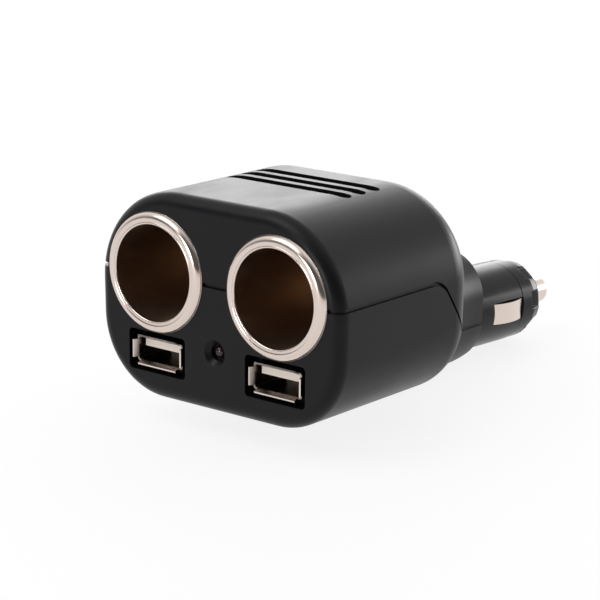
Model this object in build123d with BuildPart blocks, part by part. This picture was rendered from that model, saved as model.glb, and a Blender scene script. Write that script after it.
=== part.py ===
"""Car socket splitter: two lighter sockets, two USB ports and a fused plug on a low neck."""
import os
from math import asin, cos, degrees, radians, sin, sqrt, tan

from build123d import *

os.makedirs("parts", exist_ok=True)

# The origin is where the plug's axis leaves the collar: Y runs out of the sockets' backs, Z is up.
plug_tilt = 2.3
plug_dir = (0, cos(radians(plug_tilt)), -sin(radians(plug_tilt)))
plug_axis = Axis((0, 0, 0), plug_dir)
plug_half = Plane(origin=(0, 0, 0), x_dir=(1, 0, 0), z_dir=(0, -plug_dir[2], plug_dir[1]))
plug_face = Plane(origin=(0, 0, 0), x_dir=(-1, 0, 0), z_dir=plug_dir)

# Housing, two moulded shells
wall = 2.2
front_y = -84.0
body_depth = 49.0
socket_z = 22.9
half_width = 34.3
bottom_half_width = 33.4
top_z = socket_z + 17.9
bottom_z = socket_z - 28.5
top_corner = 21.0
bottom_corner = 17.5
front_round = 3.0
rear_round = 8.0
neck_cavity_end = -14.0
collar_half = 11.2
collar_top = 16.0
# each neck station: y, half width, top, bottom, top corner, bottom corner
neck_stations = [
    (-40.0, 24.0, 22.0, -3.5, 12.0, 10.0),
    (-28.0, 16.5, 18.2, -6.8, 11.5, 10.0),
    (neck_cavity_end, 12.6, 16.8, -10.4, 11.6, 10.2),
]
seam_bend = (-48.3, socket_z)
seam_foot_y = -32.5
seam_round = 6.0
groove_width = 0.9
groove_depth = 0.7
slot_half = 17.1
slot_width = 3.2
slot_depth = 1.0
slot_pitch = 4.95
first_slot_y = front_y + 24.3

# Sockets
socket_x = 17.0
socket_bore = 10.7
sleeve_wall = 0.5
sleeve_fit = 0.05
sleeve_end = -42.5
rim_radius = 13.4
rim_height = 1.2
disc_thick = 3.0
disc_fit = 0.05
seat_step = 0.7
bore_margin = 0.4
crimp_lip = 9.3
rivet_shank = 1.5
rivet_head = 4.0
rivet_rise = 1.6
tag_thick = 0.6
cradle_y = -53.0
cradle_thick = 2.0

# USB ports
usb_x = 16.7
usb_z = socket_z - 18.1
usb_width = 13.1
usb_height = 5.7
usb_sheet = 0.35
usb_depth = 14.0
usb_fit = 0.15
flare = 0.55
flare_depth = 1.1
pocket_width = 16.4
pocket_height = 9.2
pocket_depth = 4.0
pocket_wall = 1.2
tongue_thick = 1.9
contact_pitch = 2.3
contact_thick = 0.3

# Indicator and circuit board
led_z = socket_z - 15.0
led_radius = 1.5
led_flange = 2.0
led_hole = 1.85
led_sink = 2.9
board_thick = 1.6
board_top = usb_z - usb_height / 2
board_half = 24.5
board_front = front_y + pocket_depth + pocket_wall + 0.2
board_rear = -58.5
post_radius = 2.0
board_screw_x = 21.0
board_screw_y = -61.0

# Housing screws, from below
boss_radius = 3.1
boss_hole_fit = 0.15
screw_length = 10.0
screw_radius = 1.2
screw_head = 2.1
screw_head_height = 1.6
pilot_fit = 0.01
body_screws = [(0, -70.0), (0, -55.0)]
neck_screws = [(-8.0, -22.0), (8.0, -22.0)]

# Plug: distances run out from the collar along the plug's axis
barrel_radius = 9.85
barrel_end = 19.8
root_radius = 8.6
root_end = -18.0
root_step = -13.0
tail_body = 7.6
flange_radius = 9.6
flange_span = (-10.0, -7.0)
clamp_fit = 0.05
fuse_bore = 5.0
thread_radius = 7.6
thread_end = 23.0
cap_gap = 0.1
cap_end = 28.6
cap_radius = 9.75
cap_end_radius = 9.0
cap_wall = 2.5
notch_count = 8
notch_turn = 7.0
notch_width = 4.2
notch_length = 4.6
notch_depth = 1.3
notch_round = 0.8
tip_radius = 3.3
tip_end = 42.2
nose_radius = 3.7
tip_fit = 0.1
tip_flange = 4.8
tip_skirt_end = 20.0
fuse_radius = 3.15
fuse_length = 30.0
fuse_front = 23.0
fuse_cap_length = 6.0
fuse_fit = 0.05
spring_wire = 0.7
spring_radius = 2.9
spring_turns = 4
spring_length = 8.0
spring_fit = 0.1
leaf_start = 7.6
leaf_edge = 0.3
leaf_end = barrel_end - leaf_edge
leaf_width = 5.0
leaf_thick = 0.5
leaf_crest = 10.6
leaf_foot = 9.4
leaf_fit = 0.2
clip_thick = 0.5
clip_width = 4.0
clip_x = 6.65
clip_front = 9.0
clip_fit = 0.05
lead_radius = 0.75
tail_radius = 1.2
tail_end = -21.0


def section(plane, half_low, half_high, low, high, low_corner, high_corner):
    """A four-sided outline, wider at one end, with its own corner radius at the bottom and top."""
    with BuildSketch(plane) as outline:
        with BuildLine():
            Polyline((-half_low, low), (half_low, low), (half_high, high), (-half_high, high), close=True)
        make_face()
        fillet(outline.vertices().group_by(Axis.Y)[0], low_corner)
        fillet(outline.vertices().group_by(Axis.Y)[-1], high_corner)
    return outline.sketch


def body_block(inset):
    """The box behind the sockets, shrunk by inset on every side."""
    start = Plane.XZ.offset(-front_y - inset)
    with BuildPart() as block:
        extrude(
            section(
                start,
                bottom_half_width - inset,
                half_width - inset,
                bottom_z + inset,
                top_z - inset,
                bottom_corner - inset,
                top_corner - inset,
            ),
            amount=2 * inset - body_depth,
        )
        fillet(block.faces().sort_by(Axis.Y)[0].edges(), front_round - inset)
        fillet(block.faces().sort_by(Axis.Y)[-1].edges(), rear_round - inset)
    return block.part


def neck_block(inset, with_collar):
    """The neck from the box down to the collar, or its hollow, which stops short of the collar."""
    outlines = []
    for y, half, high, low, high_corner, low_corner in neck_stations:
        outlines.append(
            section(
                Plane.XZ.offset(-y),
                half - inset,
                half - inset,
                low + inset,
                high - inset,
                low_corner - inset,
                high_corner - inset,
            )
        )
    if with_collar:
        half = collar_half - inset
        outlines.append(
            section(plug_face, half, half, -half, collar_top - inset, half - 0.1, half - 0.1)
        )
    with BuildPart() as neck:
        loft(outlines)
    return neck.part


def seam_line_z(y):
    """Height of the plug's axis, where the neck parts."""
    return -y * tan(radians(plug_tilt))


def below_seam(drop):
    """Everything under the parting line, or under a line set lower by drop."""
    foot = (seam_foot_y, seam_line_z(seam_foot_y) - drop)
    with BuildPart() as block:
        with BuildSketch(Plane.YZ) as side:
            with BuildLine():
                Polyline(
                    (-95, socket_z - drop),
                    (seam_bend[0], seam_bend[1] - drop),
                    foot,
                    (5, seam_line_z(5) - drop),
                    (5, -60),
                    (-95, -60),
                    close=True,
                )
            make_face()
            bend = side.vertices().sort_by_distance((seam_bend[0], seam_bend[1] - drop))[0]
            fillet(bend, seam_round)
            fillet(side.vertices().sort_by_distance(foot)[0], seam_round)
        extrude(amount=60, both=True)
    return block.part


# What stands inside the walls: the sockets' cradle, pocket walls, screw bosses and board posts
with BuildPart() as envelope:
    add(body_block(wall / 2))
    add(neck_block(wall / 2, True))

with BuildPart() as fittings:
    with BuildSketch(Plane.XZ.offset(-cradle_y)):
        with Locations((0, (top_z + bottom_z) / 2)):
            Rectangle(2 * half_width, top_z - bottom_z)
        with Locations((-socket_x, socket_z), (socket_x, socket_z)):
            Circle(socket_bore + sleeve_wall + sleeve_fit, mode=Mode.SUBTRACT)
    extrude(amount=cradle_thick)
    with BuildSketch(Plane.XZ.offset(-front_y - wall / 2)):
        with Locations((-usb_x, usb_z), (usb_x, usb_z)):
            Rectangle(pocket_width + 2 * pocket_wall, pocket_height + 2 * pocket_wall)
    extrude(amount=wall / 2 - pocket_depth - pocket_wall)
    with BuildSketch(Plane.XY.offset(bottom_z - 10)):
        with Locations(*body_screws, *neck_screws):
            Circle(boss_radius)
    extrude(amount=top_z - bottom_z + 10)
    with BuildSketch(Plane.XY.offset(bottom_z)):
        with Locations((-board_screw_x, board_screw_y), (board_screw_x, board_screw_y), (-9.5, -76), (9.5, -76)):
            Circle(post_radius)
    extrude(amount=board_top - board_thick - bottom_z)
    add(envelope.part, mode=Mode.INTERSECT)

# The whole housing before it is parted
with BuildPart() as housing:
    add(body_block(0))
    add(neck_block(0, True))
    add(body_block(wall), mode=Mode.SUBTRACT)
    add(neck_block(wall, False), mode=Mode.SUBTRACT)
    add(fittings.part)
    with BuildSketch(Plane.XZ.offset(-front_y + 1)):
        with Locations((-socket_x, socket_z), (socket_x, socket_z)):
            Circle(socket_bore + sleeve_wall + sleeve_fit)
    extrude(amount=-2 * wall, mode=Mode.SUBTRACT)
    with BuildSketch(Plane.XZ.offset(-front_y + 1)):
        with Locations((-usb_x, usb_z), (usb_x, usb_z)):
            RectangleRounded(pocket_width, pocket_height, 1.0)
    extrude(amount=-pocket_depth - 1, mode=Mode.SUBTRACT)
    with BuildSketch(Plane.XZ.offset(-front_y)):
        with Locations((-usb_x, usb_z), (usb_x, usb_z)):
            Rectangle(usb_width + 2 * usb_fit, usb_height + 2 * usb_fit)
    extrude(amount=-pocket_depth - 2 * pocket_wall, mode=Mode.SUBTRACT)
    with BuildSketch(Plane.YZ):
        with BuildLine():
            Polyline(
                (front_y - 1, led_z),
                (front_y - 1, led_z + led_sink),
                (front_y, led_z + led_sink),
                (front_y + led_sink - led_hole, led_z + led_hole),
                (front_y + 2 * wall, led_z + led_hole),
                (front_y + 2 * wall, led_z),
                close=True,
            )
        make_face()
    revolve(axis=Axis((0, 0, led_z), (0, 1, 0)), mode=Mode.SUBTRACT)
    with BuildSketch(Plane.XY.offset(top_z - slot_depth)):
        for row in range(3):
            with Locations((0, first_slot_y + row * slot_pitch)):
                SlotOverall(2 * slot_half, slot_width)
    extrude(amount=5, mode=Mode.SUBTRACT)
    with BuildSketch(plug_half):
        with Locations((0, neck_cavity_end - 1)):
            Rectangle(root_radius + clamp_fit, 20 - neck_cavity_end, align=(Align.MIN, Align.MIN))
        with Locations((0, flange_span[0] - clamp_fit)):
            Rectangle(
                flange_radius + clamp_fit,
                flange_span[1] - flange_span[0] + 2 * clamp_fit,
                align=(Align.MIN, Align.MIN),
            )
    revolve(axis=plug_axis, mode=Mode.SUBTRACT)
    for x, y in body_screws + neck_screws:
        part_z = socket_z if y < seam_bend[0] else seam_line_z(y)
        with BuildSketch(Plane.XY.offset(part_z - screw_length / 2)):
            with Locations((x, y)):
                Circle(screw_head + boss_hole_fit)
        extrude(amount=-60, mode=Mode.SUBTRACT)
        with BuildSketch(Plane.XY.offset(part_z - screw_length / 2)):
            with Locations((x, y)):
                Circle(screw_radius + pilot_fit)
        extrude(amount=screw_length + 1, mode=Mode.SUBTRACT)
    for x in (-board_screw_x, board_screw_x):
        with BuildSketch(Plane.XY.offset(board_top - board_thick)):
            with Locations((x, board_screw_y)):
                Circle(0.8 + pilot_fit)
        extrude(amount=-3.2, mode=Mode.SUBTRACT)

with BuildPart() as upper_shell:
    add(housing.part)
    add(below_seam(0), mode=Mode.SUBTRACT)
upper_shell.part.label = "upper_shell"
export_step(upper_shell.part, "parts/upper_shell.step")

# A shadow groove runs round the lower shell's edge
with BuildPart() as groove:
    add(body_block(-1))
    add(neck_block(-1, True))
    add(body_block(groove_depth), mode=Mode.SUBTRACT)
    add(neck_block(groove_depth, True), mode=Mode.SUBTRACT)
    add(below_seam(groove_width), mode=Mode.SUBTRACT)

with BuildPart() as lower_shell:
    add(housing.part)
    add(below_seam(0), mode=Mode.INTERSECT)
    add(groove.part, mode=Mode.SUBTRACT)
lower_shell.part.label = "lower_shell"
export_step(lower_shell.part, "parts/lower_shell.step")

# Sockets: a drawn sleeve with a rolled rim, an insulating disc and a riveted centre contact
disc_front = sleeve_end - sleeve_wall - disc_thick
bore_end = disc_front - rivet_rise - bore_margin
seat_radius = socket_bore - seat_step
rivet_dome = (rivet_head**2 + rivet_rise**2) / (2 * rivet_rise)
rivet_angle = degrees(asin(rivet_head / rivet_dome))
for side, x in (("left", -socket_x), ("right", socket_x)):
    socket_plane = Plane(origin=(x, 0, socket_z), x_dir=(1, 0, 0), z_dir=(0, 0, 1))
    socket_axis = Axis((x, 0, socket_z), (0, 1, 0))
    sleeve_radius = socket_bore + sleeve_wall
    with BuildPart() as socket_sleeve:
        with BuildSketch(socket_plane):
            with BuildLine():
                Polyline(
                    (socket_bore + 0.25, front_y - rim_height + 0.25),
                    (socket_bore, front_y - 0.4),
                    (socket_bore, bore_end),
                    (seat_radius, bore_end),
                    (seat_radius, sleeve_end - sleeve_wall),
                    (crimp_lip, sleeve_end - sleeve_wall),
                    (crimp_lip, sleeve_end),
                    (seat_radius + sleeve_wall, sleeve_end),
                    (seat_radius + sleeve_wall, bore_end + sleeve_wall),
                    (sleeve_radius, bore_end + sleeve_wall),
                    (sleeve_radius, front_y),
                    (rim_radius - 0.3, front_y),
                    (rim_radius, front_y - 0.3),
                )
                ThreePointArc(
                    (rim_radius, front_y - 0.3),
                    (rim_radius - 0.9, front_y - rim_height + 0.15),
                    (rim_radius - 1.8, front_y - rim_height),
                )
                Line((rim_radius - 1.8, front_y - rim_height), (socket_bore + 0.25, front_y - rim_height + 0.25))
            make_face()
        revolve(axis=socket_axis)
    socket_sleeve.part.label = f"socket_sleeve_{side}"
    export_step(socket_sleeve.part, f"parts/socket_sleeve_{side}.step")

    with BuildPart() as socket_disc:
        with BuildSketch(Plane.XZ.offset(-disc_front)):
            with Locations((x, socket_z)):
                Circle(seat_radius - disc_fit)
                Circle(rivet_shank + pilot_fit, mode=Mode.SUBTRACT)
        extrude(amount=-disc_thick)
    socket_disc.part.label = f"socket_disc_{side}"
    export_step(socket_disc.part, f"parts/socket_disc_{side}.step")

    disc_back = disc_front + disc_thick
    with BuildPart() as centre_contact:
        with BuildSketch(socket_plane):
            with BuildLine():
                Polyline(
                    (0, disc_front - rivet_rise),
                    (0, disc_back + tag_thick + 0.5),
                    (2.4, disc_back + tag_thick),
                    (2.4, disc_back),
                    (rivet_shank, disc_back),
                    (rivet_shank, disc_front),
                    (rivet_head, disc_front),
                )
                CenterArc((0, disc_front - rivet_rise + rivet_dome), rivet_dome, -90, rivet_angle)
            make_face()
        revolve(axis=socket_axis)
        with BuildSketch(Plane.XZ.offset(-disc_back)):
            with Locations((x, socket_z)):
                Rectangle(4.0, 8.5, align=(Align.CENTER, Align.MAX))
        extrude(amount=-tag_thick)
    centre_contact.part.label = f"centre_contact_{side}"
    export_step(centre_contact.part, f"parts/centre_contact_{side}.step")


def usb_lip(reach, half):
    """One flared lip of a USB shell, above the port's axis, with the shell's mouth at the origin."""
    with BuildPart() as lip:
        with BuildSketch(Plane.YZ):
            with BuildLine():
                Polyline(
                    (0.3, reach - usb_sheet),
                    (0.3, reach),
                    (0, reach),
                    (-flare_depth, reach + flare),
                    (-flare_depth - 0.1, reach + flare - usb_sheet),
                    (0, reach - usb_sheet),
                    close=True,
                )
            make_face()
        extrude(amount=half, both=True)
    return lip.part


# USB ports: a folded steel shell with flared lips, a plastic tongue and four contacts
usb_mouth = front_y - 0.1 + flare_depth
usb_back = usb_mouth + usb_depth
usb_inside_width = usb_width - 2 * usb_sheet
usb_inside_height = usb_height - 2 * usb_sheet
tongue_z = usb_z + 0.35
for side, x in (("left", -usb_x), ("right", usb_x)):
    with BuildPart() as usb_shell:
        with BuildSketch(Plane.XZ.offset(-usb_mouth)):
            with Locations((x, usb_z)):
                RectangleRounded(usb_width, usb_height, 0.6)
                RectangleRounded(usb_inside_width, usb_inside_height, 0.3, mode=Mode.SUBTRACT)
        extrude(amount=-usb_depth)
        for turn in (0, 180):
            add(Pos(x, usb_mouth, usb_z) * Rot(0, turn, 0) * usb_lip(usb_height / 2, 5.5))
        for turn in (90, -90):
            add(Pos(x, usb_mouth, usb_z) * Rot(0, turn, 0) * usb_lip(usb_width / 2, 2.0))
    usb_shell.part.label = f"usb_shell_{side}"
    export_step(usb_shell.part, f"parts/usb_shell_{side}.step")

    with BuildPart() as usb_tongue:
        with BuildSketch(Plane.XZ.offset(-usb_back)):
            with Locations((x, usb_z)):
                RectangleRounded(usb_inside_width - 0.1, usb_inside_height - 0.1, 0.35)
        extrude(amount=3.5)
        with BuildSketch(Plane.XZ.offset(-usb_back)):
            with Locations((x, tongue_z)):
                Rectangle(11.1, tongue_thick, align=(Align.CENTER, Align.MIN))
        extrude(amount=usb_depth - 1.5)
    usb_tongue.part.label = f"usb_tongue_{side}"
    export_step(usb_tongue.part, f"parts/usb_tongue_{side}.step")

    with BuildPart() as usb_contacts:
        with BuildSketch(Plane.XZ.offset(3.5 - usb_back)):
            for place in (-1.5, -0.5, 0.5, 1.5):
                with Locations((x + place * contact_pitch, tongue_z)):
                    Rectangle(1.1, contact_thick, align=(Align.CENTER, Align.MAX))
        extrude(amount=usb_depth - 6.0)
    usb_contacts.part.label = f"usb_contacts_{side}"
    export_step(usb_contacts.part, f"parts/usb_contacts_{side}.step")

# Indicator lamp with its two legs bent down to the board
lamp_seat = front_y + wall
with BuildPart() as indicator_lamp:
    with BuildSketch(Plane.YZ):
        with BuildLine():
            Polyline(
                (front_y + 0.9, led_z),
                (lamp_seat + 3.0, led_z),
                (lamp_seat + 3.0, led_z + led_radius),
                (lamp_seat + 1.0, led_z + led_radius),
                (lamp_seat + 1.0, led_z + led_flange),
                (lamp_seat, led_z + led_flange),
                (lamp_seat, led_z + led_radius),
                (front_y + 0.9 + led_radius, led_z + led_radius),
            )
            RadiusArc((front_y + 0.9 + led_radius, led_z + led_radius), (front_y + 0.9, led_z), -led_radius)
        make_face()
    revolve(axis=Axis((0, 0, led_z), (0, 1, 0)))
    with BuildSketch(Plane.YZ):
        with BuildLine():
            Polyline(
                (lamp_seat + 2.0, led_z - 0.25),
                (lamp_seat + 2.0, led_z + 0.25),
                (lamp_seat + 5.0, led_z + 0.25),
                (lamp_seat + 5.0, board_top),
                (lamp_seat + 4.5, board_top),
                (lamp_seat + 4.5, led_z - 0.25),
                close=True,
            )
        make_face()
    extrude(amount=1.5, both=True)
    with BuildSketch(Plane.YZ):
        with Locations((lamp_seat + 3.0, board_top)):
            Rectangle(5, led_z - board_top + 2, align=(Align.MIN, Align.MIN))
    extrude(amount=1.0, both=True, mode=Mode.SUBTRACT)
indicator_lamp.part.label = "indicator_lamp"
export_step(indicator_lamp.part, "parts/indicator_lamp.step")

# Charging board and what is soldered on it
with BuildPart() as circuit_board:
    with BuildSketch(Plane.XY.offset(board_top)):
        with Locations((0, (board_front + board_rear) / 2)):
            Rectangle(2 * board_half, board_rear - board_front)
        with Locations(body_screws[0]):
            Circle(boss_radius + 0.6, mode=Mode.SUBTRACT)
        with Locations((-board_screw_x, board_screw_y), (board_screw_x, board_screw_y)):
            Circle(1.0, mode=Mode.SUBTRACT)
    extrude(amount=-board_thick)
circuit_board.part.label = "circuit_board"
export_step(circuit_board.part, "parts/circuit_board.step")

with BuildPart() as board_screws:
    for x in (-board_screw_x, board_screw_x):
        with BuildSketch(Plane.XY.offset(board_top)):
            with Locations((x, board_screw_y)):
                Circle(1.7)
        extrude(amount=1.2)
        with BuildSketch(Plane.XY.offset(board_top)):
            with Locations((x, board_screw_y)):
                Circle(0.8)
        extrude(amount=-board_thick - 3.0)
board_screws.part.label = "board_screws"
export_step(board_screws.part, "parts/board_screws.step")

with BuildPart() as inductor:
    for z, radius, height in ((0, 4.0, 1.0), (1.0, 3.5, 3.2), (4.2, 4.0, 1.0)):
        with BuildSketch(Plane.XY.offset(board_top + z)):
            with Locations((-13.5, -64.0)):
                Circle(radius)
        extrude(amount=height)
inductor.part.label = "inductor"
export_step(inductor.part, "parts/inductor.step")

for name, spot, radius, height in (
    ("capacitor_input", (13.5, -64.0), 3.15, 7.0),
    ("capacitor_output", (6.9, -76.4), 2.0, 5.0),
):
    with BuildPart() as capacitor:
        with BuildSketch(Plane.XY.offset(board_top)):
            with Locations(spot):
                Circle(radius)
        extrude(amount=height)
        fillet(capacitor.faces().sort_by(Axis.Z)[-1].edges(), 0.4)
    capacitor.part.label = name
    export_step(capacitor.part, f"parts/{name}.step")

with BuildPart() as regulator_chip:
    with BuildSketch(Plane.XY.offset(board_top)):
        with Locations((6.4, -71.5)):
            Rectangle(4.0, 5.0)
        for row in (-1.9, -0.63, 0.63, 1.9):
            with Locations((6.4, -71.5 + row)):
                Rectangle(6.0, 0.45)
    extrude(amount=0.3)
    with BuildSketch(Plane.XY.offset(board_top + 0.3)):
        with Locations((6.4, -71.5)):
            Rectangle(4.0, 5.0)
    extrude(amount=1.3)
regulator_chip.part.label = "regulator_chip"
export_step(regulator_chip.part, "parts/regulator_chip.step")

with BuildPart() as housing_screws:
    for x, y in body_screws + neck_screws:
        part_z = socket_z if y < seam_bend[0] else seam_line_z(y)
        with BuildSketch(Plane.XY.offset(part_z - screw_length / 2)):
            with Locations((x, y)):
                Circle(screw_head)
                Rectangle(2.4, 0.6, mode=Mode.SUBTRACT)
                Rectangle(0.6, 2.4, mode=Mode.SUBTRACT)
        extrude(amount=-screw_head_height)
        with BuildSketch(Plane.XY.offset(part_z - screw_length / 2 - screw_head_height / 2)):
            with Locations((x, y)):
                Circle(screw_head - 0.5)
        extrude(amount=screw_head_height / 2)
        with BuildSketch(Plane.XY.offset(part_z - screw_length / 2)):
            with Locations((x, y)):
                Circle(screw_radius)
        extrude(amount=screw_length)
housing_screws.part.label = "housing_screws"
export_step(housing_screws.part, "parts/housing_screws.step")

# Plug barrel: a flange locked in the neck, the side contacts' pockets and a spigot for the end cap
with BuildPart() as plug_barrel:
    with BuildSketch(plug_half):
        with BuildLine():
            Polyline(
                (0, root_end),
                (tail_body, root_end),
                (tail_body, root_step),
                (root_radius, root_step),
                (root_radius, flange_span[0]),
                (flange_radius, flange_span[0]),
                (flange_radius, flange_span[1]),
                (root_radius, flange_span[1]),
                (root_radius, 0),
                (barrel_radius, 0),
                (barrel_radius, barrel_end),
                (thread_radius, barrel_end),
                (thread_radius, thread_end),
                (fuse_bore, thread_end),
                (fuse_bore, root_end + 2),
                (0, root_end + 2),
                close=True,
            )
        make_face()
    revolve(axis=plug_axis)
    with BuildSketch(plug_face.offset(root_end)):
        Circle(tail_radius + clamp_fit)
    extrude(amount=3, mode=Mode.SUBTRACT)
    with BuildSketch(plug_half):
        for x in (-1, 1):
            with Locations((x * (clip_x + clip_thick / 2), (root_end + clip_front + 0.2) / 2)):
                Rectangle(clip_thick + 2 * clip_fit, clip_front + 0.2 - root_end)
    extrude(amount=clip_width / 2 + clip_fit, both=True, mode=Mode.SUBTRACT)
    pocket_floor = clip_x + clip_thick
    with BuildSketch(plug_half):
        for x in (-1, 1):
            with Locations((x * (pocket_floor + 5), barrel_end)):
                Rectangle(10, barrel_end - leaf_start + leaf_fit, align=(Align.CENTER, Align.MAX))
    extrude(amount=leaf_width / 2 + leaf_fit, both=True, mode=Mode.SUBTRACT)
plug_barrel.part.label = "plug_barrel"
export_step(plug_barrel.part, "parts/plug_barrel.step")

# End cap: screws onto the spigot and holds the tip in
cap_start = barrel_end + cap_gap
with BuildPart() as end_cap:
    with BuildSketch(plug_half):
        with BuildLine():
            Polyline(
                (thread_radius + tip_fit, cap_start),
                (cap_radius, cap_start),
                (cap_radius, cap_end - 3.5),
                (cap_end_radius, cap_end - 0.6),
                (cap_end_radius - 0.6, cap_end),
                (tip_radius + tip_fit, cap_end),
                (tip_radius + tip_fit, cap_end - cap_wall),
                (thread_radius + tip_fit, cap_end - cap_wall),
                close=True,
            )
        make_face()
    revolve(axis=plug_axis)
    notch_floors = []
    for place in range(notch_count):
        angle = radians(180 - notch_turn + place * 360 / notch_count)
        out = plug_face.x_dir * cos(angle) + plug_face.y_dir * sin(angle)
        floor_middle = plug_face.origin + plug_face.z_dir * cap_end + out * (cap_radius - notch_depth)
        notch_floors.append(Plane(floor_middle, x_dir=plug_face.z_dir, z_dir=out))
    with BuildSketch(*notch_floors):
        RectangleRounded(2 * notch_length, notch_width, notch_round)
    extrude(amount=2 * notch_depth, mode=Mode.SUBTRACT)
end_cap.part.label = "end_cap"
export_step(end_cap.part, "parts/end_cap.step")

# Tip, fuse, spring and the terminal behind them
with BuildPart() as tip_contact:
    with BuildSketch(plug_half):
        with BuildLine():
            Polyline(
                (0, fuse_front),
                (fuse_radius + fuse_fit, fuse_front),
                (fuse_radius + fuse_fit, tip_skirt_end),
                (tip_flange - 0.5, tip_skirt_end),
                (tip_flange - 0.5, fuse_front + 0.3),
                (tip_flange, fuse_front + 0.3),
                (tip_flange, cap_end - cap_wall - 0.05),
                (tip_radius, cap_end - cap_wall - 0.05),
                (tip_radius, tip_end - nose_radius + sqrt(nose_radius**2 - tip_radius**2)),
            )
            CenterArc((0, tip_end - nose_radius), nose_radius, 90, -degrees(asin(tip_radius / nose_radius)))
            Line((0, tip_end), (0, fuse_front))
        make_face()
    revolve(axis=plug_axis)
tip_contact.part.label = "tip_contact"
export_step(tip_contact.part, "parts/tip_contact.step")

fuse_rear = fuse_front - fuse_length
for name, start, end in (
    ("fuse_cap_front", fuse_front - fuse_cap_length, fuse_front),
    ("fuse_cap_rear", fuse_rear, fuse_rear + fuse_cap_length),
):
    inner = start if name == "fuse_cap_front" else end
    outer = end if name == "fuse_cap_front" else start
    skin = 0.3 if name == "fuse_cap_front" else -0.3
    with BuildPart() as fuse_cap:
        with BuildSketch(plug_half):
            with BuildLine():
                Polyline(
                    (0, outer),
                    (fuse_radius, outer),
                    (fuse_radius, inner),
                    (fuse_radius - 0.3, inner),
                    (fuse_radius - 0.3, outer - skin),
                    (0, outer - skin),
                    close=True,
                )
            make_face()
        revolve(axis=plug_axis)
    fuse_cap.part.label = name
    export_step(fuse_cap.part, f"parts/{name}.step")

with BuildPart() as fuse_glass:
    with BuildSketch(plug_half):
        with Locations((2.1, fuse_rear + 0.3)):
            Rectangle(fuse_radius - 0.3 - 2.1, fuse_length - 0.6, align=(Align.MIN, Align.MIN))
    revolve(axis=plug_axis)
fuse_glass.part.label = "fuse_glass"
export_step(fuse_glass.part, "parts/fuse_glass.step")

with BuildPart() as fuse_wire:
    with BuildSketch(plug_face.offset(fuse_rear + 0.3)):
        Circle(0.25)
    extrude(amount=fuse_length - 0.6)
fuse_wire.part.label = "fuse_wire"
export_step(fuse_wire.part, "parts/fuse_wire.step")

spring_start = fuse_rear - spring_length
with BuildPart() as tip_spring:
    coil_start = spring_start + spring_fit + spring_wire / 2
    coil_height = spring_length - spring_wire - 2 * spring_fit
    with BuildLine() as coil:
        Helix(
            coil_height / spring_turns,
            coil_height,
            spring_radius,
            center=(0, coil_start * plug_dir[1], coil_start * plug_dir[2]),
            direction=plug_dir,
        )
    with BuildSketch(Plane(origin=coil.line @ 0, z_dir=coil.line % 0)):
        Circle(spring_wire / 2)
    sweep(path=coil.line, is_frenet=True)
tip_spring.part.label = "tip_spring"
export_step(tip_spring.part, "parts/tip_spring.step")

with BuildPart() as spring_terminal:
    with BuildSketch(plug_half):
        with BuildLine():
            Polyline(
                (0, tail_end),
                (tail_radius, tail_end),
                (tail_radius, root_end + 2),
                (fuse_bore - 0.1, root_end + 2),
                (fuse_bore - 0.1, spring_start),
                (0, spring_start),
                close=True,
            )
        make_face()
    revolve(axis=plug_axis)
spring_terminal.part.label = "spring_terminal"
export_step(spring_terminal.part, "parts/spring_terminal.step")

# Side contacts: bowed leaves in the barrel's pockets, over an earthing clip
leaf_middle = (leaf_start + leaf_end) / 2
for side, x in (("left", -1), ("right", 1)):
    with BuildPart() as side_contact:
        with BuildSketch(plug_half):
            with BuildLine():
                ThreePointArc(
                    (x * leaf_foot, leaf_start), (x * leaf_crest, leaf_middle), (x * leaf_foot, leaf_end)
                )
                Line((x * leaf_foot, leaf_end), (x * (leaf_foot - leaf_thick), leaf_end))
                ThreePointArc(
                    (x * (leaf_foot - leaf_thick), leaf_end),
                    (x * (leaf_crest - leaf_thick), leaf_middle),
                    (x * (leaf_foot - leaf_thick), leaf_start),
                )
                Line((x * (leaf_foot - leaf_thick), leaf_start), (x * leaf_foot, leaf_start))
            make_face()
        extrude(amount=leaf_width / 2, both=True)
    side_contact.part.label = f"side_contact_{side}"
    export_step(side_contact.part, f"parts/side_contact_{side}.step")

with BuildPart() as earth_clip:
    with BuildSketch(plug_half):
        for x in (-1, 1):
            with Locations((x * (clip_x + clip_thick / 2), root_end - clip_thick)):
                Rectangle(clip_thick, clip_front - root_end + clip_thick, align=(Align.CENTER, Align.MIN))
        with Locations((0, root_end - clip_thick)):
            Rectangle(2 * clip_x, clip_thick, align=(Align.CENTER, Align.MIN))
    extrude(amount=clip_width / 2, both=True)
    with BuildSketch(plug_face.offset(root_end + 1)):
        Circle(tail_radius + 0.4)
    extrude(amount=-5, mode=Mode.SUBTRACT)
earth_clip.part.label = "earth_clip"
export_step(earth_clip.part, "parts/earth_clip.step")

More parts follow.
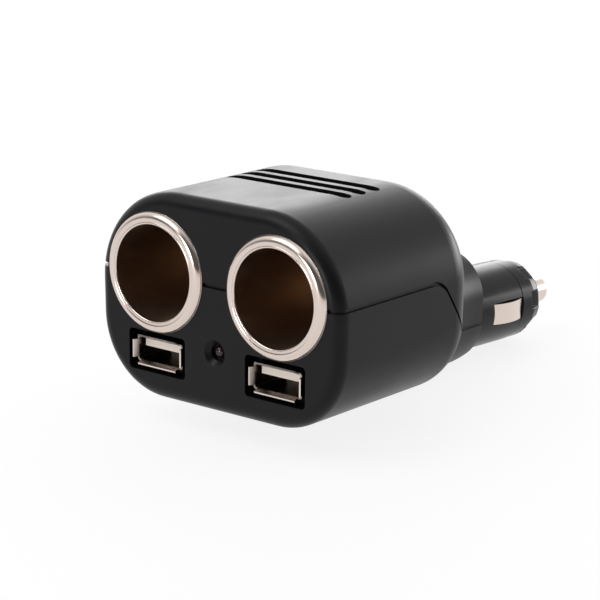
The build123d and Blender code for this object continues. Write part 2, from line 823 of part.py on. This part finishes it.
# Leads from the terminal and the clip to the sockets
tag_back = disc_back + tag_thick
for side, x in (("left", -1), ("right", 1)):
    feed = (x * 0.85, (tail_end - lead_radius) * plug_dir[1], (tail_end - lead_radius) * plug_dir[2])
    with BuildPart() as live_lead:
        with BuildLine() as live_path:
            Spline(
                (x * socket_x, tag_back + lead_radius + 0.1, socket_z - 5.0),
                (x * 11.0, -35.0, 4.5),
                (x * 2.6, -27.0, 0.8),
                feed,
                tangents=((0, 0, -1), (-x * 0.3, 1, -0.2)),
            )
        with BuildSketch(Plane(origin=live_path.line @ 0, z_dir=live_path.line % 0)):
            Circle(lead_radius)
        sweep(path=live_path.line)
    live_lead.part.label = f"live_lead_{side}"
    export_step(live_lead.part, f"parts/live_lead_{side}.step")

    reach = socket_bore + sleeve_wall + lead_radius + 0.12
    sleeve_spot = (x * (socket_x - reach * 0.7071), socket_z - reach * 0.7071)
    clip_back = root_end - clip_thick
    with BuildPart() as earth_lead:
        with BuildLine() as earth_path:
            Spline(
                (sleeve_spot[0], sleeve_end - 7.0, sleeve_spot[1]),
                (sleeve_spot[0], sleeve_end - 1.0, sleeve_spot[1]),
                (x * 6.0, -30.0, 6.5),
                (x * 3.6, clip_back * plug_dir[1], 0.3 + clip_back * plug_dir[2]),
                tangents=((0, 1, 0), (0, 1, 0)),
            )
        with BuildSketch(Plane(origin=earth_path.line @ 0, z_dir=earth_path.line % 0)):
            Circle(lead_radius)
        sweep(path=earth_path.line)
    earth_lead.part.label = f"earth_lead_{side}"
    export_step(earth_lead.part, f"parts/earth_lead_{side}.step")
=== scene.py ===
# %% [markdown]
# A car socket splitter on a white studio floor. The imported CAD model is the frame: every object
# below is in metres and in the same axes, with Y running from the sockets' mouths to the plug.

# %% Load the frame
import math

import bpy
import numpy as np
from mathutils import Matrix, Vector


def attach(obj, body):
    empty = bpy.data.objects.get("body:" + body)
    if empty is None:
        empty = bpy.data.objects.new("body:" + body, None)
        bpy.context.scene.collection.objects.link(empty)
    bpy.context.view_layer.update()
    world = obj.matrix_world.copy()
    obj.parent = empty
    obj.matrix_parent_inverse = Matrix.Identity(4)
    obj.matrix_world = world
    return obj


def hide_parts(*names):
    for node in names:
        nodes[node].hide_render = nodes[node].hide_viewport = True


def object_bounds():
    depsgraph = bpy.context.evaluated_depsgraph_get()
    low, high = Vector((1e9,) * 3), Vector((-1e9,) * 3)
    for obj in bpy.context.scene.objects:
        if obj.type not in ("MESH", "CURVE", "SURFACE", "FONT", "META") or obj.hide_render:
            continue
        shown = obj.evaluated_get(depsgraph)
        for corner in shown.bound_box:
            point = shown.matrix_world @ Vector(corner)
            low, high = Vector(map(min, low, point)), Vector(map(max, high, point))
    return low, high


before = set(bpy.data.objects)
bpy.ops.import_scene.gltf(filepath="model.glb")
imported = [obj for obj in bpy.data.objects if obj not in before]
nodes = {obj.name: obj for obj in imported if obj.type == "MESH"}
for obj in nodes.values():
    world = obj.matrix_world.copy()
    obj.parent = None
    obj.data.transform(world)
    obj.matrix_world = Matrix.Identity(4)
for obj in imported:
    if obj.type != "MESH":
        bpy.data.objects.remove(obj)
cad_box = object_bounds()
print("CAD box", [[round(c, 4) for c in corner] for corner in cad_box])

# %% [markdown]
# Sizes that several pieces share, repeated from the CAD in metres. The plug droops a little below
# the Y axis, so its pieces are drawn as (radius, distance along the plug) and then turned.

# %% Shared sizes
MM = 0.001
FRONT = -84.0 * MM
SOCKET_X, SOCKET_Z = 17.0 * MM, 22.9 * MM
PLUG_DROOP = math.radians(2.3)
print("sockets at x", -SOCKET_X, SOCKET_X, "and z", SOCKET_Z)

# %% [markdown]
# Node helpers. A finish is a few nodes chained by hand, so these keep the wiring readable: one adds
# a node, one links two sockets, one starts a material from its Principled BSDF.

# %% Node helpers


def put(tree, kind, **values):
    """Adds one node; names in values are properties, or input sockets with _ for a space."""
    node = tree.nodes.new(kind)
    for key, value in values.items():
        if hasattr(node, key):
            setattr(node, key, value)
        else:
            node.inputs[key.replace("_", " ")].default_value = value
    return node


def join(tree, source, target):
    """Links an output socket to an input socket."""
    tree.links.new(source, target)


def finish_for(name, colour, roughness, metallic=0.0):
    """A new material with its Principled BSDF set to plain starting values."""
    material = bpy.data.materials.new(name)
    material.use_nodes = True
    shader = material.node_tree.nodes["Principled BSDF"]
    shader.inputs["Base Color"].default_value = (*colour, 1.0)
    shader.inputs["Roughness"].default_value = roughness
    shader.inputs["Metallic"].default_value = metallic
    return material, material.node_tree, shader


# %% [markdown]
# Moulded plastic carries a fine spark-eroded grain from its tool. It is far too fine to model, so
# it is a height for a Bump node. Many finishes use it, so it is a node group: each finish only
# states how fine it wants the grain.

# %% Grain group
COARSE_SHARE, COARSE_HEIGHT = 0.35, 0.5


def build_grain():
    """Height of a fine moulded grain: noise at Scale cells a metre, plus a coarser octave."""
    group = bpy.data.node_groups.new("moulded_grain", "ShaderNodeTree")
    group.interface.new_socket("Scale", in_out="INPUT", socket_type="NodeSocketFloat")
    group.interface.new_socket("Height", in_out="OUTPUT", socket_type="NodeSocketFloat")
    entry = put(group, "NodeGroupInput")
    leave = put(group, "NodeGroupOutput")
    coords = put(group, "ShaderNodeTexCoord")
    fine = put(group, "ShaderNodeTexNoise", Detail=2.0, Roughness=0.6)
    join(group, coords.outputs["Object"], fine.inputs["Vector"])
    join(group, entry.outputs["Scale"], fine.inputs["Scale"])
    coarse_scale = put(group, "ShaderNodeMath", operation="MULTIPLY")
    coarse_scale.inputs[1].default_value = COARSE_SHARE
    join(group, entry.outputs["Scale"], coarse_scale.inputs[0])
    coarse = put(group, "ShaderNodeTexNoise", Detail=1.0)
    join(group, coords.outputs["Object"], coarse.inputs["Vector"])
    join(group, coarse_scale.outputs[0], coarse.inputs["Scale"])
    blend = put(group, "ShaderNodeMath", operation="MULTIPLY_ADD")
    blend.inputs[1].default_value = COARSE_HEIGHT
    join(group, coarse.outputs["Fac"], blend.inputs[0])
    join(group, fine.outputs["Fac"], blend.inputs[2])
    join(group, blend.outputs[0], leave.inputs["Height"])
    return group


grain_group = build_grain()
print("group", grain_group.name, "with", len(grain_group.nodes), "nodes")

# %% [markdown]
# Handled surfaces carry faint smears that change the gloss and not the colour. The second group
# stretches a noise, as a wiping hand does, and gives a roughness between two values.

# %% Smear group


def build_smears():
    """Roughness of handling smears: stretched noise, pushed to Low..High by a smooth ramp."""
    group = bpy.data.node_groups.new("handling_smears", "ShaderNodeTree")
    for name in ("Scale", "Low", "High"):
        group.interface.new_socket(name, in_out="INPUT", socket_type="NodeSocketFloat")
    group.interface.new_socket("Value", in_out="OUTPUT", socket_type="NodeSocketFloat")
    entry = put(group, "NodeGroupInput")
    leave = put(group, "NodeGroupOutput")
    coords = put(group, "ShaderNodeTexCoord")
    stretch = put(group, "ShaderNodeMapping", Scale=(1.0, 0.45, 1.6), Rotation=(0.3, 0.0, 0.5))
    join(group, coords.outputs["Object"], stretch.inputs["Vector"])
    noise = put(group, "ShaderNodeTexNoise", Detail=5.0, Roughness=0.62, Distortion=0.4)
    join(group, stretch.outputs["Vector"], noise.inputs["Vector"])
    join(group, entry.outputs["Scale"], noise.inputs["Scale"])
    ramp = put(
        group, "ShaderNodeMapRange", interpolation_type="SMOOTHSTEP", From_Min=0.35, From_Max=0.7
    )
    join(group, noise.outputs["Fac"], ramp.inputs["Value"])
    join(group, entry.outputs["Low"], ramp.inputs["To Min"])
    join(group, entry.outputs["High"], ramp.inputs["To Max"])
    join(group, ramp.outputs["Result"], leave.inputs["Value"])
    return group


smear_group = build_smears()
print("group", smear_group.name, "with", len(smear_group.nodes), "nodes")

# %% [markdown]
# Every finish places the two groups in the same way: grain through a Bump node to the normal, and
# smears to the roughness. The Principled BSDF itself stays in the material.

# %% Place the effects


def add_group(tree, group, **values):
    """Places a shared effect in a material with its own values."""
    node = put(tree, "ShaderNodeGroup", node_tree=group)
    for key, value in values.items():
        node.inputs[key].default_value = value
    return node


def add_grain(tree, shader, scale, strength, depth):
    """Feeds the grain's height to the shader's normal through one Bump node."""
    grain = add_group(tree, grain_group, Scale=scale)
    bump = put(tree, "ShaderNodeBump", Strength=strength, Distance=depth)
    join(tree, grain.outputs["Height"], bump.inputs["Height"])
    join(tree, bump.outputs["Normal"], shader.inputs["Normal"])


def add_smears(tree, shader, scale, low, high):
    """Lets the roughness wander between low and high."""
    smears = add_group(tree, smear_group, Scale=scale, Low=low, High=high)
    join(tree, smears.outputs["Value"], shader.inputs["Roughness"])


# %% [markdown]
# The plastics. The shells are satin black and the plug is glossier, both moulded. A photograph on
# white would grey such blacks with reflections, so their specular level is low. The pieces inside
# get the same recipe with other colours, grain and gloss.

# %% Plastic finishes
PLASTIC_SMEARS = 55.0
PLASTIC_DEPTH = 0.06 * MM


def moulded(name, colour, gloss, grain, specular=0.5):
    """A moulded plastic: gloss is (low, high) roughness, grain is (cells a metre, strength)."""
    material, tree, shader = finish_for(name, colour, gloss[0])
    shader.inputs["Specular IOR Level"].default_value = specular
    add_grain(tree, shader, *grain, PLASTIC_DEPTH)
    add_smears(tree, shader, PLASTIC_SMEARS, *gloss)
    print("plastic", name)
    return material


satin_black = moulded(
    "satin_black_shell", (0.0056, 0.0048, 0.0060), (0.32, 0.40), (5200.0, 0.16), 0.17
)
gloss_black = moulded(
    "gloss_black_plug", (0.0050, 0.0046, 0.0048), (0.16, 0.26), (3000.0, 0.05), 0.14
)
pale_tongue = moulded("pale_port_tongue", (0.82, 0.73, 0.65), (0.40, 0.52), (4000.0, 0.08))
brown_board = moulded("brown_phenolic", (0.10, 0.045, 0.026), (0.42, 0.56), (2500.0, 0.12))
lamp_epoxy = moulded("tinted_lamp", (0.016, 0.007, 0.007), (0.12, 0.2), (2000.0, 0.03))
green_mask = moulded("green_solder_mask", (0.02, 0.14, 0.055), (0.3, 0.42), (2500.0, 0.06))
dark_ferrite = moulded("dark_ferrite", (0.03, 0.03, 0.032), (0.5, 0.65), (3500.0, 0.2))
chip_epoxy = moulded("chip_epoxy", (0.014, 0.014, 0.015), (0.45, 0.55), (4000.0, 0.15))
red_sleeve = moulded("red_lead_sleeve", (0.36, 0.015, 0.015), (0.4, 0.5), (2500.0, 0.05))
black_sleeve = moulded("black_lead_sleeve", (0.012, 0.012, 0.012), (0.4, 0.5), (2500.0, 0.05))
can_sleeve = moulded("capacitor_sleeve", (0.25, 0.3, 0.42), (0.3, 0.4), (2500.0, 0.05))

# %% [markdown]
# The metals. Bright parts are nickel on drawn steel, with a warm tint and a faint ripple from the
# press. A socket's bore is the same sheet, rougher, and made dark and brown by painted shade and a
# painted reflection of its brown disc.

# %% Metal finishes
METAL_SMEARS = 90.0
RIPPLE_SCALE, RIPPLE_STRENGTH, RIPPLE_DEPTH = 900.0, 0.05, 0.05 * MM
PORT_COLOUR = (0.70, 0.60, 0.55)


def plated(name, colour, gloss):
    """A plated metal: gloss is (low, high) roughness, with a ripple in the bump."""
    material, tree, shader = finish_for(name, colour, gloss[0], 1.0)
    add_smears(tree, shader, METAL_SMEARS, *gloss)
    add_grain(tree, shader, RIPPLE_SCALE, RIPPLE_STRENGTH, RIPPLE_DEPTH)
    print("metal", name)
    return material


nickel = plated("bright_nickel", (0.70, 0.60, 0.54), (0.16, 0.26))
# The bore's darker, browner colour is painted shade and a painted reflection of the brown disc at
# its foot.
bore_shade_finish = plated("drawn_bore_painted_shade", (0.40, 0.29, 0.21), (0.36, 0.48))
port_nickel = plated("port_shell_nickel", PORT_COLOUR, (0.2, 0.3))
brass = plated("plain_brass", (0.72, 0.53, 0.27), (0.2, 0.32))
gold_flash = plated("gold_flash", (0.83, 0.6, 0.26), (0.16, 0.24))
zinc = plated("zinc_steel", (0.56, 0.56, 0.57), (0.25, 0.4))

# %% [markdown]
# A port's shell is the same nickel inside and out, and its colour is painted darker inside as
# painted shade.
# The painted shade fades in along Y, from the bright flared mouth inwards, so one material serves
# the whole folded shell.

# %% Paint shade inside the ports
# The dark colour below is painted shade for the unlit inside of the shell, not a darker metal.
PORT_PAINTED_SHADE = (0.05, 0.04, 0.032)
FADE_START, FADE_END = FRONT + 0.2 * MM, FRONT + 1.6 * MM

port_tree = port_nickel.node_tree
port_coords = put(port_tree, "ShaderNodeTexCoord")
port_place = put(port_tree, "ShaderNodeSeparateXYZ")
port_shade_mask = put(
    port_tree, "ShaderNodeMapRange", interpolation_type="SMOOTHSTEP",
    From_Min=FADE_START, From_Max=FADE_END,
)
port_shade_tint = put(
    port_tree, "ShaderNodeMix", data_type="RGBA", A=(*PORT_COLOUR, 1.0), B=(*PORT_PAINTED_SHADE, 1.0)
)
port_shader = port_tree.nodes["Principled BSDF"]
join(port_tree, port_coords.outputs["Object"], port_place.inputs[0])
join(port_tree, port_place.outputs["Y"], port_shade_mask.inputs["Value"])
join(port_tree, port_shade_mask.outputs["Result"], port_shade_tint.inputs["Factor"])
join(port_tree, port_shade_tint.outputs["Result"], port_shader.inputs["Base Color"])
print("ports fade over", round((FADE_END - FADE_START) / MM, 2), "mm")

# %% [markdown]
# The fuse is a clear glass tube. Transmission with a plain index of refraction is enough, with a
# slight waviness in the bump, as drawn tube has.

# %% Fuse glass
fuse_glass, glass_tree, glass_shader = finish_for("fuse_glass_tube", (0.93, 0.96, 0.96), 0.03)
glass_shader.inputs["Transmission Weight"].default_value = 1.0
glass_shader.inputs["IOR"].default_value = 1.5
add_grain(glass_tree, glass_shader, 400.0, 0.05, 0.05 * MM)
print("glass", fuse_glass.name)

# %% [markdown]
# The CAD nodes keep their meshes and only change their finish. Left and right pieces share the
# start of their names, so one entry dresses both.

# %% Dress the CAD nodes
FINISHES = {
    "upper_shell": satin_black, "lower_shell": satin_black,
    "plug_barrel": gloss_black, "end_cap": gloss_black,
    "usb_tongue": pale_tongue, "socket_disc": brown_board, "indicator_lamp": lamp_epoxy,
    "circuit_board": green_mask, "inductor": dark_ferrite, "capacitor": can_sleeve,
    "regulator_chip": chip_epoxy, "live_lead": red_sleeve, "earth_lead": black_sleeve,
    "socket_sleeve": nickel, "usb_shell": port_nickel, "side_contact": nickel,
    "tip_contact": nickel, "fuse_cap": nickel, "earth_clip": nickel,
    "centre_contact": brass, "spring_terminal": brass, "usb_contacts": gold_flash,
    "board_screws": zinc, "housing_screws": zinc, "tip_spring": zinc,
    "fuse_wire": zinc, "fuse_glass": fuse_glass,
}
for name, piece in nodes.items():
    finish = next(m for start, m in FINISHES.items() if name.startswith(start))
    piece.data.materials.clear()
    piece.data.materials.append(finish)
print("dressed", len(nodes), "nodes")

# %% [markdown]
# Round pieces are turned on a lathe, worked out as one grid of points: rows follow the profile and
# columns go round the axis. The profile is closed, so the grid wraps both ways and has no seam, no
# pole and no open edge.

# %% Lathe


def arc(centre, radius, start, end, count):
    """Points on a circle: centre + radius * (cos a, sin a), a from start to end in degrees."""
    a = np.radians(np.linspace(start, end, count))
    return np.stack([centre[0] + radius * np.cos(a), centre[1] + radius * np.sin(a)], axis=1)


def lathe(radius, distance, origin, axis, side):
    """Grid of points: origin + axis * distance + radius * (side * cos a + other * sin a).

    radius has a row for each profile point and a column for each step round the axis.
    """
    axis, side = np.array(axis, dtype=float), np.array(side, dtype=float)
    a = np.linspace(0.0, 2.0 * np.pi, radius.shape[1], endpoint=False)[:, None]
    ring = np.cos(a) * side + np.sin(a) * np.cross(axis, side)
    return np.array(origin) + distance[:, None, None] * axis + radius[:, :, None] * ring


def wrapped_faces(rows, columns):
    """Quads between neighbours (i, j) of a grid of points that wraps round both ways."""
    i, j = np.arange(rows)[:, None], np.arange(columns)[None, :]
    below, beside = (i + 1) % rows, (j + 1) % columns
    corners = (i * columns + j, i * columns + beside, below * columns + beside, below * columns + j)
    return np.stack(np.broadcast_arrays(*corners), axis=-1).reshape(-1, 4)


# %% [markdown]
# A new piece is made from such a grid, given a finish, and tied to a CAD body so that it moves
# with its joint. Its faces have to point outwards, which the sign of its volume tells.

# %% New pieces


def show(name, data):
    """A new object in the scene that holds this mesh, lamp or camera."""
    thing = bpy.data.objects.new(name, data)
    bpy.context.scene.collection.objects.link(thing)
    return thing


def surface(name, points, finish, body):
    """A new smooth closed piece from a wrapped grid of points, riding on a CAD body.

    Its volume is the sum of a . (b x c) / 6 over the triangles; where that is negative, the
    quads are turned round.
    """
    faces = wrapped_faces(*points.shape[:2])
    flat = points.reshape(-1, 3)
    a, b, c, d = (flat[faces[:, k]] for k in range(4))
    volume = np.sum(a * (np.cross(b, c) + np.cross(c, d))) / 6.0
    faces = faces if volume > 0 else faces[:, ::-1]
    mesh = bpy.data.meshes.new(name)
    mesh.from_pydata(flat.tolist(), [], faces.tolist())
    mesh.polygons.foreach_set("use_smooth", np.ones(len(mesh.polygons), dtype=bool))
    mesh.materials.append(finish)
    piece = show(name, mesh)
    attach(piece, body)
    print(name, len(mesh.polygons), "faces")
    return piece


# %% [markdown]
# The socket sleeves are drawn steel: one sheet pressed into a tube, with its front edge spread
# flat and rolled back on itself. The profile runs from the rim's outer edge over its crown and the
# rolled lip, down the bore to the crimped seat, and back outside. It could be swept as a curve
# with a bevel, but a lathe gives the rolls as many points as they need.

# %% Sleeve profile, as (radius, depth) in mm
rim_edge = np.array([[13.36, 0.0], [13.40, -0.04]])
rim_crown = arc((11.72, 0.32), 1.52, -12, -96, 18) + np.array([0.19, 0.02])
lip_groove = np.array([[11.58, -1.13], [11.48, -1.06], [11.40, -1.10]])
lip_roll = arc((11.04, -0.80), 0.34, -40, -180, 14)
bore = [[10.7, -0.5], [10.7, 0.5], [10.7, 10.0], [10.7, 25.0], [10.7, 36.0]]
seat = [[10.0, 36.0], [10.0, 41.0], [9.3, 41.0], [9.3, 41.5], [10.4, 41.5], [10.5, 41.4]]
outside = [[10.5, 36.5], [11.2, 36.5], [11.2, 20.0], [11.2, 0.3], [11.35, 0.0]]
tube = np.array(bore + seat + outside)
sleeve_profile = np.concatenate([rim_edge, rim_crown, lip_groove, lip_roll, tube]) * MM
print("sleeve profile of", len(sleeve_profile), "points")

# %% [markdown]
# Both sleeves come from the one profile. The faces of the tube take the bore's finish, dark and
# brown from painted shade and painted reflection, and the rolled rim stays bright.

# %% Socket sleeves
SLEEVE_STEPS = 160

sleeve_radius = np.repeat(sleeve_profile[:, :1], SLEEVE_STEPS, axis=1)
face_rows = np.repeat(np.arange(len(sleeve_profile)), SLEEVE_STEPS)
tube_faces = face_rows >= len(sleeve_profile) - len(tube)
for side, x in (("left", -SOCKET_X), ("right", SOCKET_X)):
    points = lathe(sleeve_radius, sleeve_profile[:, 1], (x, FRONT, SOCKET_Z), (0, 1, 0), (1, 0, 0))
    sleeve = surface(f"rolled_sleeve_{side}", points, nickel, "housing")
    sleeve.data.materials.append(bore_shade_finish)
    sleeve.data.polygons.foreach_set("material_index", tube_faces.astype(np.int32))
    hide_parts(f"socket_sleeve_{side}")

# %% [markdown]
# The end cap screws onto the plug and is notched for grip. First its plain turned profile: a
# straight side, a taper towards the nose, and the hole that the tip comes through. The outside has
# many rows, because the notches are pressed into them next.

# %% Cap profile, as (radius, distance along the plug) in mm
CAP_RADIUS, CAP_END = 9.75, 28.6

cap_side = np.stack([np.full(40, CAP_RADIUS), np.linspace(20.2, 25.0, 40)], axis=1)
cap_taper = np.stack([np.linspace(CAP_RADIUS, 9.02, 30), np.linspace(25.1, 28.0, 30)], axis=1)
cap_nose = arc((8.42, 28.0), 0.6, 0, 90, 10)
cap_face = [[7.6, CAP_END], [6.0, CAP_END], [4.0, CAP_END], [3.5, CAP_END]]
cap_inside = [[3.4, 28.5], [3.4, 26.1], [7.7, 26.1], [7.7, 19.9], [9.5, 19.9], [9.7, 20.0]]
cap_profile = np.concatenate([cap_side, cap_taper, cap_nose, cap_face, cap_inside])
print("cap profile of", len(cap_profile), "points")

# %% [markdown]
# A cut with a boolean would leave sharp edges. Instead the radius sinks to a flat floor wherever a
# rounded-rectangle mask says that there is a notch, so that each notch has the soft edges of a
# moulding.

# %% Notch mask


def soft_step(low, high, value):
    """0 below low, 1 above high and t*t*(3 - 2t) between, where t runs from 0 to 1."""
    t = np.clip((value - low) / (high - low), 0.0, 1.0)
    return t * t * (3.0 - 2.0 * t)


def notch_mask(across, along, half_width, half_length, corner, edge):
    """1 inside a rounded rectangle: the distance is |max(|p| - (half - corner), 0)| - corner."""
    u = np.maximum(np.abs(across) - (half_width - corner), 0.0)
    v = np.maximum(np.abs(along) - (half_length - corner), 0.0)
    return 1.0 - soft_step(-edge, edge, np.hypot(u, v) - corner)


# %% [markdown]
# Eight notches stand evenly round the cap. A flat floor at distance f from the axis has the radius
# f / cos(angle from the notch's middle), and the cap is turned about the drooping plug.

# %% End cap
CAP_STEPS = 720
NOTCH_PITCH, NOTCH_TURN = 360.0 / 8, 7.0
NOTCH_HALF_WIDTH, NOTCH_LENGTH, NOTCH_FLOOR = 2.1, 4.6, 8.45
NOTCH_CORNER, NOTCH_EDGE = 0.8, 0.16

turn = np.linspace(0.0, 360.0, CAP_STEPS, endpoint=False)
half_pitch = NOTCH_PITCH / 2
from_notch = np.radians((turn + NOTCH_TURN + half_pitch) % NOTCH_PITCH - half_pitch)[None, :]
radius = np.repeat(cap_profile[:, :1], CAP_STEPS, axis=1)
mask = notch_mask(
    radius * np.sin(from_notch), cap_profile[:, 1:] - CAP_END,
    NOTCH_HALF_WIDTH, NOTCH_LENGTH, NOTCH_CORNER, NOTCH_EDGE,
)
notched = np.minimum(radius, radius + mask * (NOTCH_FLOOR / np.cos(from_notch) - radius))
plug_axis = (0.0, math.cos(PLUG_DROOP), -math.sin(PLUG_DROOP))
cap_points = lathe(notched * MM, cap_profile[:, 1] * MM, (0, 0, 0), plug_axis, (1, 0, 0))
cap = surface("notched_end_cap", cap_points, gloss_black, "end_cap")
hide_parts("end_cap")

# %% [markdown]
# The studio floor is a white sweep. Painted white alone, it would render grey, so part of it glows
# for rays from the camera and from mirrors, while soft light still falls on plain paint and leaves
# a faint shadow.

# %% Floor
FLOOR_HALF = 4.0
FLOOR_CORNERS = ((-1, -1), (1, -1), (1, 1), (-1, 1))
FLOOR_GLOW = 0.85

floor_z = cad_box[0][2]
corners = [(x * FLOOR_HALF, y * FLOOR_HALF, floor_z) for x, y in FLOOR_CORNERS]
floor_mesh = bpy.data.meshes.new("studio_floor")
floor_mesh.from_pydata(corners, [], [(0, 1, 2, 3)])
floor = show("studio_floor", floor_mesh)
floor_paint, floor_tree, floor_shader = finish_for("studio_white", (0.86, 0.86, 0.86), 0.7)
floor_mesh.materials.append(floor_paint)
print("floor at z", round(floor_z, 4))

# %% [markdown]
# The glow's share is 0.85 of (camera ray or mirrored ray or ray through glass), from the Light
# Path node, mixed between the paint and a white emission.

# %% Floor glow
white = put(floor_tree, "ShaderNodeEmission", Strength=1.0)
path = put(floor_tree, "ShaderNodeLightPath")
direct = put(floor_tree, "ShaderNodeMath", operation="ADD")
bent = put(floor_tree, "ShaderNodeMath", operation="ADD", use_clamp=True)
seen = put(floor_tree, "ShaderNodeMath", operation="MULTIPLY")
seen.inputs[1].default_value = FLOOR_GLOW
both = put(floor_tree, "ShaderNodeMixShader")
join(floor_tree, path.outputs["Is Camera Ray"], direct.inputs[0])
join(floor_tree, path.outputs["Is Glossy Ray"], direct.inputs[1])
join(floor_tree, direct.outputs[0], bent.inputs[0])
join(floor_tree, path.outputs["Is Transmission Ray"], bent.inputs[1])
join(floor_tree, bent.outputs[0], seen.inputs[0])
join(floor_tree, seen.outputs[0], both.inputs[0])
join(floor_tree, floor_shader.outputs[0], both.inputs[1])
join(floor_tree, white.outputs[0], both.inputs[2])
join(floor_tree, both.outputs[0], floor_tree.nodes["Material Output"].inputs["Surface"])
print("floor glows by", FLOOR_GLOW)

# %% [markdown]
# The world is bright behind and above the object and dim on the camera's side, like a white sweep
# with a dark room behind the photographer: black plastic keeps dark sides and bright edges. Camera
# rays see plain white.

# %% World
BRIGHT_SIDE = (-0.35, 0.75, 0.55)

world = bpy.data.worlds.new("studio_world")
bpy.context.scene.world = world
world.use_nodes = True
sky = world.node_tree
back_light = sky.nodes["Background"]
coords = put(sky, "ShaderNodeTexCoord")
aim = put(sky, "ShaderNodeVectorMath", operation="DOT_PRODUCT")
aim.inputs[1].default_value = BRIGHT_SIDE
fall = put(
    sky, "ShaderNodeMapRange", interpolation_type="SMOOTHSTEP",
    From_Min=-0.35, From_Max=0.55, To_Min=0.10, To_Max=1.0,
)
sky_path = put(sky, "ShaderNodeLightPath")
plain = put(sky, "ShaderNodeMath", operation="MAXIMUM")
join(sky, coords.outputs["Generated"], aim.inputs[0])
join(sky, aim.outputs["Value"], fall.inputs["Value"])
join(sky, fall.outputs["Result"], plain.inputs[0])
join(sky, sky_path.outputs["Is Camera Ray"], plain.inputs[1])
join(sky, plain.outputs[0], back_light.inputs["Strength"])
back_light.inputs["Color"].default_value = (1.0, 1.0, 1.0, 1.0)
print("world brightest towards", BRIGHT_SIDE)

# %% [markdown]
# Four softboxes. The key lights the front and the top, a small low one reaches into the ports, one
# draws a rim along the far edges, and a wide one behind gives the metal something bright to mirror.

# %% Lamps
MIDDLE = (0.0, -0.04, 0.02)
LAMPS = {
    "key_softbox": ((-0.25, -0.55, 0.65), (0.5, 0.5), 2.2),
    "port_softbox": ((-0.05, -0.90, 0.16), (0.25, 0.25), 2.0),
    "rim_softbox": ((0.25, 0.85, 0.10), (0.5, 0.3), 3.0),
    "back_softbox": ((-0.75, 0.95, 0.40), (1.2, 0.55), 6.0),
}


def softbox(name, place, size, power):
    """A rectangular area lamp at place, facing the middle of the object."""
    data = bpy.data.lights.new(name, "AREA")
    data.shape = "RECTANGLE"
    data.size, data.size_y = size
    data.energy = power
    lamp = show(name, data)
    lamp.location = place
    lamp.rotation_euler = (Vector(MIDDLE) - Vector(place)).to_track_quat("-Z", "Y").to_euler()
    print(name, power, "W")


for name, (place, size, power) in LAMPS.items():
    softbox(name, place, size, power)

# %% [markdown]
# The camera was solved from points on the sockets, ports, slots and seam. Its place, its right and
# its backward direction are enough: up follows from the cross product.

# %% Camera
CAMERA_PLACE = (0.309038, -0.435947, 0.141051)

camera_data = bpy.data.cameras.new("photo_camera")
camera_data.lens = 136.86
camera_data.sensor_width = 36.0
camera_data.clip_start = 0.01
camera = show("photo_camera", camera_data)
bpy.context.scene.camera = camera
right = Vector((0.774865, 0.632061, 0.009160))
back = Vector((0.610124, -0.751604, 0.250678))
turned = Matrix((right, back.cross(right), back)).transposed().to_4x4()
camera.matrix_world = Matrix.Translation(CAMERA_PLACE) @ turned
bpy.context.scene.view_settings.view_transform = "Standard"
print("camera at", CAMERA_PLACE)
